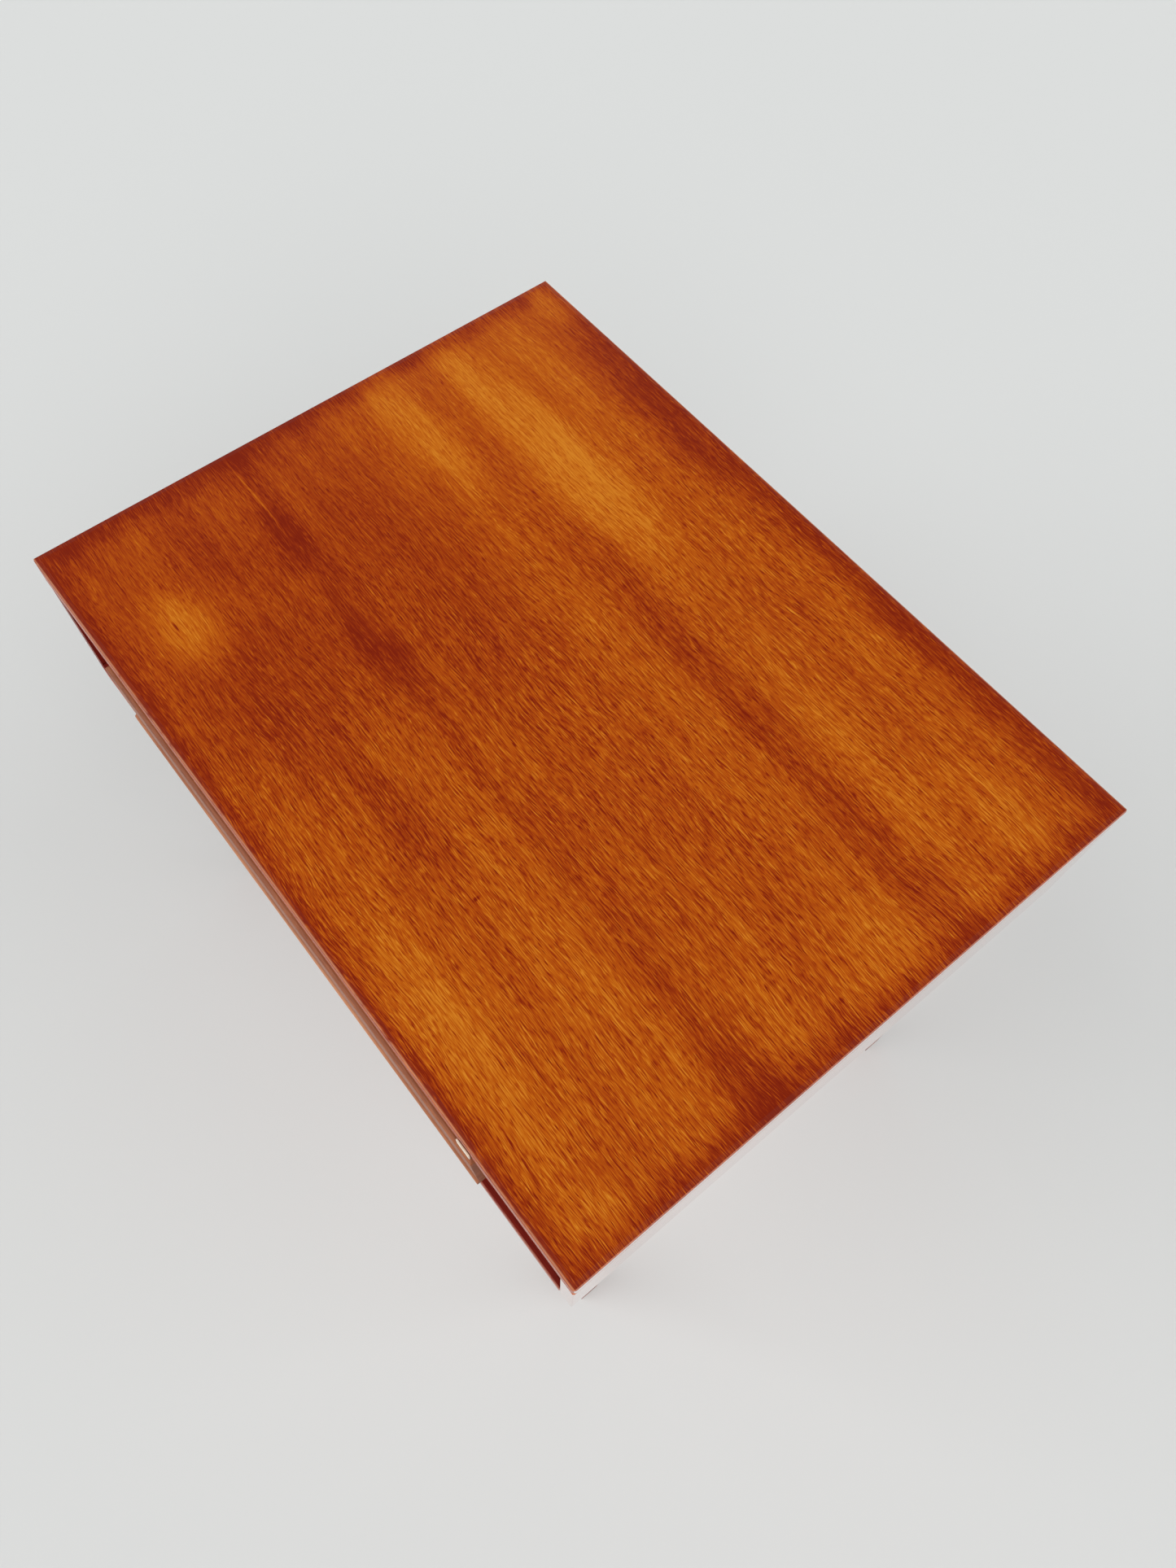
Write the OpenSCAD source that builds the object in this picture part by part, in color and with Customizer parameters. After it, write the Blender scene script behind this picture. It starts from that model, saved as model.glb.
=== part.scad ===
// Sewing table: a veneered case with an open front on four tapered legs. A hung
// drawer in the middle holds reel pegs, dividers and a tray that slides sideways.
// Frame: X to the right, Y to the back, Z up; the origin is on the floor, below
// the middle of the whole outline. All sizes are in millimetres.

/* [Overall size] */
// Length of the top, left to right
top_w = 600; // [500:10:760]
// Depth of the top, front to back
top_d = 450; // [370:10:560]
// Height of the top surface above the floor
table_h = 550; // [440:5:700]

/* [Top and case] */
// Thickness of the top
top_t = 22; // [18:0.5:30]
// Width of the solid lipping round the veneered board
lipping_w = 4; // [3:0.5:10]
// Radius of the top's corners, seen from above
corner_r = 2.5; // [1:0.25:3]
// Thickness of each side panel
side_t = 12; // [10:0.5:20]
// Clear height between the top and the bottom board
opening_h = 100; // [82:1:130]
// Thickness of the bottom board
bottom_t = 18; // [15:0.5:25]
// Thickness of the back panel
back_t = 8; // [5:0.5:12]
// How far the back panel stands in from the back edges
back_inset = 6; // [4:0.5:12]
// Depth of the groove that holds the back panel
back_groove = 4; // [2:0.5:6]
// Easing of every sharp edge
arris = 0.8; // [0.3:0.1:1.5]

/* [Legs] */
// Width of a leg where it meets the case
leg_top_w = 34; // [26:0.5:42]
// Width of a leg at the foot
leg_foot_w = 19; // [16:0.5:26]
// From the side of the case to the outer face of a leg
leg_inset_x = 12; // [6:0.5:30]
// From the front or back of the case to the outer face of a leg
leg_inset_y = 26; // [10:0.5:60]
// Radius of the hanger bolt in each leg
bolt_r = 4; // [3:0.5:5]
// Length of the bolt that is screwed into the leg
bolt_in_leg = 32; // [20:1:50]
// Radius of the threaded insert in the bottom board
insert_r = 6; // [5.5:0.5:7]
// Length of the threaded insert
insert_l = 12; // [9:0.5:13]
// Radius of a foot glide
glide_r = 7.5; // [5:0.5:8]
// Thickness of a foot glide
glide_t = 3; // [2:0.5:5]

/* [Drawer] */
// Width of the drawer front
front_w = 421; // [340:1:470]
// Height of the drawer front
front_h = 75.5; // [62:0.5:79]
// Thickness of the drawer front
front_t = 16; // [13:0.5:20]
// Gap between the drawer front and the top
front_gap = 2.5; // [1:0.5:4]
// How far the drawer front stands out of the case
face_proud = 3; // [2:0.1:5]
// How far the hollow below the face stands out of the case
waist_proud = 1.8; // [0.5:0.1:2]
// How far the finger lip stands out of the case
lip_proud = 3.4; // [2:0.1:6]
// Height of the finger lip at the foot of the drawer front
lip_h = 9; // [6:0.5:14]
// Radius of the drawer front's corners
front_r = 3; // [1:0.5:5]
// Thickness of the drawer sides
box_side_t = 11; // [10:0.5:14]
// How far the drawer sides stay below the drawer front's upper edge
box_side_low = 9.5; // [6:0.5:14]
// How far the drawer back stays below the drawer sides
box_back_low = 3; // [1:0.5:6]
// Thickness of the drawer back
box_back_t = 10; // [8:0.5:14]
// Thickness of the drawer bottom
box_bottom_t = 4; // [3:0.5:6]
// Depth of the groove that holds the drawer bottom
bottom_groove = 4; // [2:0.5:4]
// Room between the drawer and the back panel
box_rear_room = 26; // [20:1:80]

/* [Runners] */
// Thickness of the runner that hangs below the top on each side of the drawer
runner_t = 12; // [9:0.5:16]
// Height of the runner
runner_h = 44; // [36:0.5:52]
// From the runner's foot to the middle of its tongue
tongue_up = 13; // [9:0.5:16]
// How far the runner's tongue enters the drawer side
tongue_in = 5; // [3:0.5:6]
// Height of the runner's tongue
tongue_h = 9; // [6:0.5:12]
// Radius of a runner screw's shank
screw_r = 1.75; // [1.5:0.25:2.5]

/* [Fittings of the drawer] */
// Thickness of the dividers
divider_t = 4; // [3:0.5:6]
// Room between the dividers and the tray above them
divider_clear = 6.5; // [2:0.5:12]
// Depth of the front row of compartments
front_row_d = 150; // [110:5:200]
// Width of the sliding tray
tray_w = 178; // [140:1:200]
// Height of the sliding tray
tray_h = 20; // [14:0.5:24]
// How far the tray stays below the drawer back's upper edge
tray_low = 0.5; // [0:0.5:3]
// Thickness of the tray's walls
tray_wall = 5; // [4:0.5:7]
// Thickness of the tray's base
tray_base_t = 3; // [2:0.5:4]
// Section of the ledges that carry the tray
ledge = 8; // [6:0.5:10]
// Radius of a reel peg
peg_r = 2.5; // [2:0.25:3.5]
// Room between the reel pegs and the tray above them
peg_clear = 5.5; // [2:0.5:12]
// Thickness of the peg board
peg_board_t = 5; // [4:0.5:8]

/* [Clearances] */
// Play between the drawer and its runners
slide_gap = 0.6; // [0.3:0.1:1]
// Play round the tray
tray_gap = 0.8; // [0.4:0.1:1.5]
// Free space past the end of a dowel, bolt or nail in its hole
hole_end = 1; // [0.5:0.25:1.5]
// Play of a panel in its groove
panel_gap = 0.2; // [0.1:0.1:0.5]

/* [Hidden] */
$fn = 48;
eps = 0.01;

// Levels, from the floor up
z_top = table_h;
z_under = z_top - top_t;
z_shelf = z_under - opening_h;
z_case = z_shelf - bottom_t;
leg_h = z_case - glide_t;

// Planes, seen from above; the lip of the drawer is the foremost point
y_mid = max(face_proud, lip_proud) / 2;
y_front = y_mid - top_d / 2;
y_back = y_mid + top_d / 2;
y_panel = y_back - back_inset - back_t;
in_w = top_w - 2 * side_t;

// Dowels: radius and length, and how deep each end goes
dowel_r = 3;
dowel_in_side = 8;
dowel_in_board = 22;
dowel_in_top = 14;
dowel_down_side = 18;
dowel_from_end = 82;
case_dowels = 4;
box_dowel_r = 2.5;
box_dowel_in_front = 8;
box_dowel_in_side = 16;
box_dowel_in_back = 14;

// Drawer levels and planes, at rest
z_drawer = z_under - front_gap - front_h;
y_face_back = y_front - face_proud + front_t;
box_side_up = 2;
ply_up = 8;
z_box = z_drawer + box_side_up;
z_box_top = z_drawer + front_h - box_side_low;
z_back_top = z_box_top - box_back_low;
box_w = front_w - 2 * (runner_t + slide_gap + 1);
box_in_w = box_w - 2 * box_side_t;
y_box_back = y_panel - box_rear_room;
box_in_d = y_box_back - box_back_t - y_face_back;
z_ply = z_drawer + ply_up;
z_floor = z_ply + box_bottom_t;
z_tray = z_back_top - tray_low - tray_h;
z_ledge = z_tray - tray_gap;

// Runner: the tongue's middle height, and its groove in the drawer side
z_tongue = z_under - runner_h + tongue_up;
groove_h = tongue_h + 2 * slide_gap;
groove_in = tongue_in + slide_gap;
box_dowel_z = [(z_floor + z_tongue - groove_h / 2) / 2, (z_tongue + groove_h / 2 + z_box_top) / 2];
runner_x = box_w / 2 + slide_gap;
runner_y = y_face_back + slide_gap + 2;
runner_l = y_panel - panel_gap - runner_y;
screws_per_runner = 3;
screw_from_end = 40;
screw_into_top = 14;

// Fastenings of the legs
bolt_past = 1;
glide_nail_r = 1.2;
glide_nail_l = 16;

// Fittings
divider_y = y_face_back + front_row_d;
divider_h = z_tray - divider_clear - z_floor;
peg_cols = 6;
peg_rows = 3;
peg_board_w = box_in_w - 2 * tray_gap;
peg_board_d = y_box_back - box_back_t - divider_y - divider_t - 2 * tray_gap;
tray_d = box_in_d - 2 * tray_gap;
tray_x = -box_in_w / 2 + tray_gap;
tray_y = y_face_back + tray_gap;
notch_r = 9;
buffer_w = 12;
buffer_t = 1.2;
buffer_up = 10;
buffer_in = 6;
stop_w = 24;
stop_d = 14;
stop_h = 24;
peg_pitch_x = peg_board_w / peg_cols;
peg_pitch_y = (peg_board_d - ledge) / peg_rows;
peg_in = 4;
peg_h = z_tray - peg_clear - z_floor - peg_board_t;
tray_cells = 4;
tray_divider_h = tray_h - tray_base_t - 3;

mahogany = [0.62, 0.24, 0.06];
edge_wood = [0.66, 0.40, 0.27];
case_wood = [0.55, 0.22, 0.08];
dark_wood = [0.30, 0.07, 0.03];
beech = [0.84, 0.68, 0.47];
ply = [0.80, 0.65, 0.45];
steel = [0.62, 0.62, 0.64];
brass = [0.78, 0.62, 0.30];
nylon = [0.90, 0.87, 0.82];

// ---------- shared shapes ----------

// A rectangle with its four corners cut off at 45 degrees
module eased_rect(a, b, e)
    polygon([[e, 0], [a - e, 0], [a, e], [a, b - e], [a - e, b], [e, b], [0, b - e], [0, e]]);

// A board that starts at the origin, with every edge eased
module board(x, y, z, e = arris) {
    intersection() {
        linear_extrude(z) eased_rect(x, y, e);
        translate([0, y, 0]) rotate([90, 0, 0]) linear_extrude(y) eased_rect(x, z, e);
        rotate([90, 0, 90]) linear_extrude(x) eased_rect(y, z, e);
    }
}

// A rectangle with round corners, from true arcs
module round_rect(a, b, r) {
    translate([r, 0]) square([a - 2 * r, b]);
    translate([0, r]) square([a, b - 2 * r]);
    for (x = [r, a - r], y = [r, b - r])
        translate([x, y]) circle(r);
}

// Mirrors in X when side is -1 (left), and in Y about the case's middle when end is -1 (back)
module placed(side, end = 1)
    mirror([side < 0 ? 1 : 0, 0, 0])
        translate([0, y_mid, 0]) mirror([0, end < 0 ? 1 : 0, 0]) translate([0, -y_mid, 0]) children();

// Draws its children at all four corners of the case
module at_corners()
    for (side = [-1, 1], end = [-1, 1]) placed(side, end) children();

// Where the dowels stand along the depth of the case
function dowel_y(i) = y_front + dowel_from_end + i * (top_d - 2 * dowel_from_end) / (case_dowels - 1);

// The right side's upper dowels, or with extra their longer holes
module upper_dowels(extra = 0)
    for (i = [0 : case_dowels - 1])
        translate([(top_w - side_t) / 2, dowel_y(i), z_under - dowel_down_side - extra])
            cylinder(r = dowel_r, h = dowel_down_side + dowel_in_top + 2 * extra);

// The right side's lower dowels, which lie across the joint of side and bottom board
module lower_dowels(extra = 0)
    for (i = [0 : case_dowels - 1])
        translate([in_w / 2 - dowel_in_board - extra, dowel_y(i), z_case + bottom_t / 2]) rotate([0, 90, 0])
            cylinder(r = dowel_r, h = dowel_in_board + dowel_in_side + 2 * extra);

// ---------- top ----------

// The whole top as one eased block, which the board and the lippings are cut from
module top_outline()
    translate([-top_w / 2, y_front, z_under]) intersection() {
        linear_extrude(top_t) round_rect(top_w, top_d, corner_r);
        board(top_w, top_d, top_t);
    }

module top_board()
    color(mahogany) difference() {
        translate([-top_w / 2 + lipping_w, y_front + lipping_w, z_under])
            cube([top_w - 2 * lipping_w, top_d - 2 * lipping_w, top_t]);
        for (side = [-1, 1]) placed(side) {
            upper_dowels(hole_end);
            runner_screw_set(hole_end);
        }
        back_sheet(panel_gap);
    }

// A lipping on the front (end 1) or the back (end -1), with its ends mitred
module lipping_long(end)
    color(edge_wood) intersection() {
        top_outline();
        placed(1, end) translate([-top_w / 2, y_front, z_under]) linear_extrude(top_t)
            polygon([[0, 0], [top_w, 0], [top_w - lipping_w, lipping_w], [lipping_w, lipping_w]]);
    }

// A lipping on the left or right end, with its ends mitred; the dowels' holes reach into it
module lipping_short(side)
    color(edge_wood) difference() {
        intersection() {
            top_outline();
            placed(side) translate([top_w / 2 - lipping_w, y_front, z_under]) linear_extrude(top_t)
                polygon([[lipping_w, 0], [lipping_w, top_d], [0, top_d - lipping_w], [0, lipping_w]]);
        }
        placed(side) upper_dowels(hole_end);
    }

// ---------- case ----------

module side_panel(side)
    color(case_wood) difference() {
        placed(side) translate([in_w / 2, y_front, z_case]) board(side_t, top_d, z_under - z_case);
        placed(side) upper_dowels(hole_end);
        placed(side) lower_dowels(hole_end);
        back_sheet(panel_gap);
    }

module bottom_board()
    color(case_wood) difference() {
        translate([-in_w / 2, y_front, z_case]) board(in_w, top_d, bottom_t);
        for (side = [-1, 1]) placed(side) lower_dowels(hole_end);
        at_corners() bolt_place() {
            translate([0, 0, -eps]) cylinder(r = insert_r, h = insert_l + eps);
            cylinder(r = bolt_r, h = insert_l + bolt_past + hole_end);
        }
        back_sheet(panel_gap);
    }

// The back panel, which runs in grooves all round, or with play the groove's shape
module back_sheet(play = 0)
    translate([-in_w / 2 - back_groove - play, y_panel - play / 2, z_shelf - back_groove])
        cube([in_w + 2 * (back_groove + play), back_t + play, opening_h + 2 * back_groove + play]);

module back_panel() color(dark_wood) back_sheet();

module case_dowels_upper() color(beech) for (side = [-1, 1]) placed(side) upper_dowels();

module case_dowels_lower() color(beech) for (side = [-1, 1]) placed(side) lower_dowels();

// ---------- legs ----------

// Moves its children to the front right leg's bolt, at the underside of the case
module bolt_place()
    translate([top_w / 2 - leg_inset_x - leg_top_w / 2, y_front + leg_inset_y + leg_top_w / 2, z_case])
        children();

// Moves its children to the middle of the front right leg's foot
module glide_place()
    translate([top_w / 2 - leg_inset_x - leg_foot_w / 2, y_front + leg_inset_y + leg_foot_w / 2, glide_t])
        children();

// One side of a leg: the outer edge is upright and the inner edge tapers to the foot
module leg_profile()
    polygon([[0, 0], [leg_foot_w - arris, 0], [leg_foot_w, arris], [leg_top_w, leg_h], [0, leg_h]]);

// A leg whose two outer faces are upright and whose two inner faces taper
module leg(side, end)
    color(dark_wood) placed(side, end) difference() {
        translate([top_w / 2 - leg_inset_x - leg_top_w, y_front + leg_inset_y, glide_t]) intersection() {
            translate([leg_top_w, leg_top_w, 0]) rotate([90, 0, 0])
                linear_extrude(leg_top_w) mirror([1, 0]) leg_profile();
            rotate([90, 0, 90]) linear_extrude(leg_top_w) leg_profile();
            linear_extrude(leg_h)
                polygon([[0, 0], [leg_top_w - 2 * arris, 0], [leg_top_w, 2 * arris],
                         [leg_top_w, leg_top_w], [0, leg_top_w]]);
        }
        bolt_place() translate([0, 0, -bolt_in_leg - hole_end])
            cylinder(r = bolt_r, h = bolt_in_leg + 2 * hole_end);
        glide_place() translate([0, 0, -eps])
            cylinder(r = glide_nail_r, h = glide_nail_l + hole_end, $fn = 16);
    }

module leg_hanger_bolts()
    color(steel) at_corners() bolt_place() translate([0, 0, -bolt_in_leg])
        cylinder(r = bolt_r, h = bolt_in_leg + insert_l + bolt_past);

module leg_threaded_inserts()
    color(brass) at_corners() bolt_place() difference() {
        cylinder(r = insert_r, h = insert_l);
        translate([0, 0, -1]) cylinder(r = bolt_r, h = insert_l + 2);
    }

// Nylon glides, each on its own nail
module foot_glides()
    color(nylon) at_corners() glide_place() {
        translate([0, 0, -glide_t]) cylinder(r = glide_r, h = glide_t);
        translate([0, 0, -eps]) cylinder(r = glide_nail_r, h = glide_nail_l, $fn = 16);
    }

// ---------- runners ----------

// The right runner's section, seen from the front: a hanger with a tongue towards the drawer
module runner_section() {
    tongue_x = -tongue_in;
    tongue_top = z_tongue + tongue_h / 2 - z_under;
    tongue_foot = tongue_top - tongue_h;
    polygon([
        [0, -runner_h], [runner_t, -runner_h], [runner_t, 0], [0, 0],
        [0, tongue_top], [tongue_x, tongue_top], [tongue_x, tongue_foot], [0, tongue_foot]
    ]);
}

module drawer_runner(side)
    color(beech) placed(side) difference() {
        translate([runner_x, runner_y + runner_l, z_under]) rotate([90, 0, 0])
            linear_extrude(runner_l) runner_section();
        runner_screw_set(hole_end);
    }

// The right runner's countersunk screws, driven upwards into the top, or their holes
module runner_screw_set(extra = 0)
    for (i = [0 : screws_per_runner - 1])
        translate([runner_x + runner_t / 2,
                   runner_y + screw_from_end + i * (runner_l - 2 * screw_from_end) / (screws_per_runner - 1),
                   z_under - runner_h]) {
            cylinder(r = screw_r, h = runner_h + screw_into_top + extra, $fn = 24);
            translate([0, 0, -eps]) cylinder(r1 = 2 * screw_r, r2 = screw_r, h = screw_r, $fn = 24);
        }

module runner_screws() color(brass) for (side = [-1, 1]) placed(side) runner_screw_set();

// Two blocks below the top that the drawer's back meets when it is shut
module drawer_stop_blocks()
    color(beech) for (side = [-1, 1]) placed(side)
        translate([box_w / 4 - stop_w / 2, y_box_back + slide_gap, z_under - stop_h])
            board(stop_w, stop_d, stop_h);

// ---------- drawer ----------

// The drawer front's section: Y is measured from the case's front, Z from its lower edge
module front_section()
    polygon(concat(
        [[front_t - face_proud, 0], [-lip_proud + 1.2, 0], [-lip_proud, 1.4],
         [-lip_proud, lip_h - 1.4], [-lip_proud + 0.5, lip_h - 0.4], [-waist_proud, lip_h + 0.6]],
        [for (a = [0 : 15 : 90])
            [-face_proud + front_r * (1 - cos(a)), front_h - front_r * (1 - sin(a))]],
        [[front_t - face_proud, front_h]]
    ));

module drawer_front()
    color(case_wood) difference() {
        translate([-front_w / 2, y_front, z_drawer]) intersection() {
            rotate([90, 0, 90]) linear_extrude(front_w) front_section();
            translate([0, front_t, 0]) rotate([90, 0, 0])
                linear_extrude(2 * front_t) round_rect(front_w, front_h, front_r);
        }
        drawer_sheet(panel_gap);
        front_dowels(hole_end);
        buffer_shape();
    }

module drawer_side(side)
    color(beech) difference() {
        placed(side) translate([box_in_w / 2, y_face_back, z_box])
            board(box_side_t, y_box_back - y_face_back, z_box_top - z_box, arris / 2);
        placed(side) translate([box_w / 2 - groove_in, y_face_back - 1, z_tongue - groove_h / 2])
            cube([groove_in + 1, y_box_back - y_face_back + 2, groove_h]);
        drawer_sheet(panel_gap);
        front_dowels(hole_end);
        back_dowels(hole_end);
    }

module drawer_back()
    color(beech) difference() {
        translate([-box_in_w / 2, y_box_back - box_back_t, z_floor])
            board(box_in_w, box_back_t, z_back_top - z_floor, arris / 2);
        back_dowels(hole_end);
    }

// The drawer bottom, or with play the shape of the grooves that it slides into
module drawer_sheet(play = 0)
    translate([-box_in_w / 2 - bottom_groove - play, y_face_back - bottom_groove - play, z_ply])
        cube([box_in_w + 2 * (bottom_groove + play), y_box_back - y_face_back + bottom_groove + 2 * play,
              box_bottom_t + play]);

module drawer_bottom() color(ply) drawer_sheet();

// Dowels from the drawer front into both sides, or their holes
module front_dowels(extra = 0)
    for (side = [-1, 1], z = box_dowel_z) placed(side)
        translate([(box_w - box_side_t) / 2, y_face_back + box_dowel_in_side + extra, z])
            rotate([90, 0, 0])
                cylinder(r = box_dowel_r, h = box_dowel_in_side + box_dowel_in_front + 2 * extra, $fn = 24);

// Dowels from both sides into the drawer back, or their holes
module back_dowels(extra = 0)
    for (side = [-1, 1], z = box_dowel_z) placed(side)
        translate([box_in_w / 2 - box_dowel_in_back - extra, y_box_back - box_back_t / 2, z])
            rotate([0, 90, 0])
                cylinder(r = box_dowel_r, h = box_dowel_in_back + box_dowel_in_front + 2 * extra, $fn = 24);

module drawer_dowels()
    color(beech) {
        front_dowels();
        back_dowels();
    }

// A nylon buffer let into the drawer front's upper edge; it meets the front of the top
module buffer_shape()
    translate([front_w / 2 - front_r - buffer_w, y_front - slide_gap / 2 - buffer_t,
               z_drawer + front_h - buffer_in])
        board(buffer_w, buffer_t, buffer_in + buffer_up, arris / 4);

module drawer_buffer() color(nylon) buffer_shape();

module tray_ledge(y)
    color(beech) translate([-box_in_w / 2 + panel_gap, y, z_ledge - ledge])
        board(box_in_w - 2 * panel_gap, ledge, ledge, arris / 2);

module tray_ledge_front() tray_ledge(y_face_back);

module tray_ledge_back() tray_ledge(y_box_back - box_back_t - ledge);

// ---------- fittings ----------

module drawer_divider_long()
    color(beech) translate([-box_in_w / 2 + panel_gap, divider_y, z_floor])
        board(box_in_w - 2 * panel_gap, divider_t, divider_h, arris / 2);

module divider_short(x)
    color(beech) translate([x - divider_t / 2, y_face_back + ledge + panel_gap, z_floor])
        board(divider_t, front_row_d - ledge - panel_gap, divider_h, arris / 2);

module drawer_divider_left() divider_short(-box_in_w / 6);

module drawer_divider_right() divider_short(box_in_w / 6);

// The reel pegs, in rows
module reel_peg_set()
    for (i = [0 : peg_cols - 1], j = [0 : peg_rows - 1])
        translate([(i - (peg_cols - 1) / 2) * peg_pitch_x,
                   divider_y + divider_t + tray_gap + (j + 0.5) * peg_pitch_y,
                   z_floor + peg_board_t - peg_in])
            cylinder(r = peg_r, h = peg_h + peg_in, $fn = 24);

module reel_peg_board()
    color(beech) difference() {
        translate([-peg_board_w / 2, divider_y + divider_t + tray_gap, z_floor])
            board(peg_board_w, peg_board_d, peg_board_t, arris / 2);
        reel_peg_set();
    }

module reel_pegs() color(beech) reel_peg_set();

// ---------- sliding tray ----------

module tray_base()
    color(ply) translate([tray_x + tray_wall, tray_y + tray_wall, z_tray])
        cube([tray_w - 2 * tray_wall, tray_d - 2 * tray_wall, tray_base_t]);

module tray_long_wall(y)
    color(beech) translate([tray_x + tray_wall, y, z_tray])
        board(tray_w - 2 * tray_wall, tray_wall, tray_h, arris / 2);

module tray_wall_front() tray_long_wall(tray_y);

module tray_wall_back() tray_long_wall(tray_y + tray_d - tray_wall);

// An end wall with a half-round finger notch in its upper edge
module tray_end_wall(x)
    color(beech) difference() {
        translate([x, tray_y, z_tray]) board(tray_wall, tray_d, tray_h, arris / 2);
        translate([x - 1, tray_y + tray_d / 2, z_tray + tray_h]) rotate([0, 90, 0])
            cylinder(r = notch_r, h = tray_wall + 2);
    }

module tray_wall_left() tray_end_wall(tray_x);

module tray_wall_right() tray_end_wall(tray_x + tray_w - tray_wall);

module tray_divider_long()
    color(beech) translate([tray_x + tray_w / 2 - divider_t / 2, tray_y + tray_wall, z_tray + tray_base_t])
        board(divider_t, tray_d - 2 * tray_wall, tray_divider_h, arris / 2);

module tray_dividers_short()
    color(beech) for (i = [1 : tray_cells - 1])
        translate([tray_x + tray_w / 2 + divider_t / 2, tray_y + i * tray_d / tray_cells - divider_t / 2,
                   z_tray + tray_base_t])
            board(tray_w / 2 - divider_t / 2 - tray_wall, divider_t, tray_divider_h, arris / 2);

top_board();
lipping_long(1);  // top_lipping_front
lipping_long(-1);  // top_lipping_back
lipping_short(-1);  // top_lipping_left
lipping_short(1);  // top_lipping_right
side_panel(-1);  // side_panel_left
side_panel(1);  // side_panel_right
bottom_board();
back_panel();
case_dowels_upper();
case_dowels_lower();
leg(-1, 1);  // leg_front_left
leg(1, 1);  // leg_front_right
leg(-1, -1);  // leg_back_left
leg(1, -1);  // leg_back_right
leg_hanger_bolts();
leg_threaded_inserts();
foot_glides();
drawer_runner(-1);  // drawer_runner_left
drawer_runner(1);  // drawer_runner_right
runner_screws();
drawer_stop_blocks();
drawer_front();
drawer_side(-1);  // drawer_side_left
drawer_side(1);  // drawer_side_right
drawer_back();
drawer_bottom();
drawer_dowels();
drawer_buffer();
tray_ledge_front();
tray_ledge_back();
drawer_divider_long();
drawer_divider_left();
drawer_divider_right();
reel_peg_board();
reel_pegs();
tray_base();
tray_wall_front();
tray_wall_back();
tray_wall_left();
tray_wall_right();
tray_divider_long();
tray_dividers_short();
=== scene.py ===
# %% [markdown]
# # Finishing a sewing table in Blender
# The table comes in as a imported frame of plain pieces: a veneered case with an open front,
# four tapered legs, and a hung drawer with a tray that slides sideways. The frame already has
# every size and every joint, so this lesson only adds what the eye judges: woods, lacquer,
# small turned parts, light and a camera. Lengths are in metres, but for the places on the top
# that are listed one by one, which are in millimetres.

# %% Load the frame
import math

import bmesh
import bpy
from mathutils import Matrix, Vector


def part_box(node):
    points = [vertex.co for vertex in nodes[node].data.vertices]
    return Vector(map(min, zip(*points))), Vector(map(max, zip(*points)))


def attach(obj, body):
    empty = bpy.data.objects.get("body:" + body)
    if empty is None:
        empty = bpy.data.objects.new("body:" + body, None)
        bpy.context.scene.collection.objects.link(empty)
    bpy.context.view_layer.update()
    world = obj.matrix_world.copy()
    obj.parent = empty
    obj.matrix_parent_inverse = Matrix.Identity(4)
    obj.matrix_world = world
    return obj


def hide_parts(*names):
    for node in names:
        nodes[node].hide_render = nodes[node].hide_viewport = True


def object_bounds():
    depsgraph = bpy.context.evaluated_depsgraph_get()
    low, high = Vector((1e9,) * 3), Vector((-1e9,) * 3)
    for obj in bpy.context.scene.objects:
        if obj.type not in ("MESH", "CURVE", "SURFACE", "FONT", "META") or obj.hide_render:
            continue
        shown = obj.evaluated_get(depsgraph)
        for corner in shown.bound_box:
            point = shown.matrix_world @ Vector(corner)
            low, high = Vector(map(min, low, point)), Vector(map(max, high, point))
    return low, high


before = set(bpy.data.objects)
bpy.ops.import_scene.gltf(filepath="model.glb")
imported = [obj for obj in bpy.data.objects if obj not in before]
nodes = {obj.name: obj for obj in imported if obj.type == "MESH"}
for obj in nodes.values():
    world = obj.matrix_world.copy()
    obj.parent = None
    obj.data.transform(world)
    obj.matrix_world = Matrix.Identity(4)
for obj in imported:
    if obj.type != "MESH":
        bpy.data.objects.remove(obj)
cad_low, cad_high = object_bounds()
MM = 0.001
print(len(nodes), "pieces; size in mm:", [round(1000 * side) for side in cad_high - cad_low])

# %% [markdown]
# ## Camera
# The table is looked at from high up, past its front right corner, with a wide lens. A target
# and a tracking constraint would aim it in one step, but they leave the camera level. This one
# leans by about a degree, so it gets its turn as three plain angles.

# %% Camera
CAMERA_PLACE = (0.3254, -0.2536, 1.2221)
CAMERA_TURN = (26.55, -1.28, 51.09)  # degrees about X, Y and Z
CAMERA_LENS = 27.23                  # millimetres, on a sensor 36 mm along its longer side

camera_data = bpy.data.cameras.new("camera")
camera_data.lens = CAMERA_LENS
camera_data.sensor_width = 36
camera_data.clip_start = 0.01
camera = bpy.data.objects.new("camera", camera_data)
camera.location = CAMERA_PLACE
camera.rotation_euler = [math.radians(angle) for angle in CAMERA_TURN]
bpy.context.scene.collection.objects.link(camera)
bpy.context.scene.camera = camera
print("camera height above the floor:", CAMERA_PLACE[2])

# %% [markdown]
# ## Helpers for nodes
# Materials here are written as small sums. Short helpers keep them readable: one adds a node
# and fills its sockets, one does arithmetic on numbers, one does it on vectors. A socket is
# given either a value or another node's output.

# %% Node helpers
def fill(tree, socket, value):
    """Joins a socket to a node's output, or gives it a plain value."""
    if isinstance(value, bpy.types.NodeSocket):
        tree.links.new(value, socket)
    else:
        socket.default_value = value


def add(tree, kind, inputs=None, **settings):
    """Adds a shader node. Inputs go by socket name or number, settings are its own options."""
    made = tree.nodes.new("ShaderNode" + kind)
    for key, value in settings.items():
        setattr(made, key, value)
    for key, value in (inputs or {}).items():
        fill(tree, made.inputs[key], value)
    return made


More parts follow.
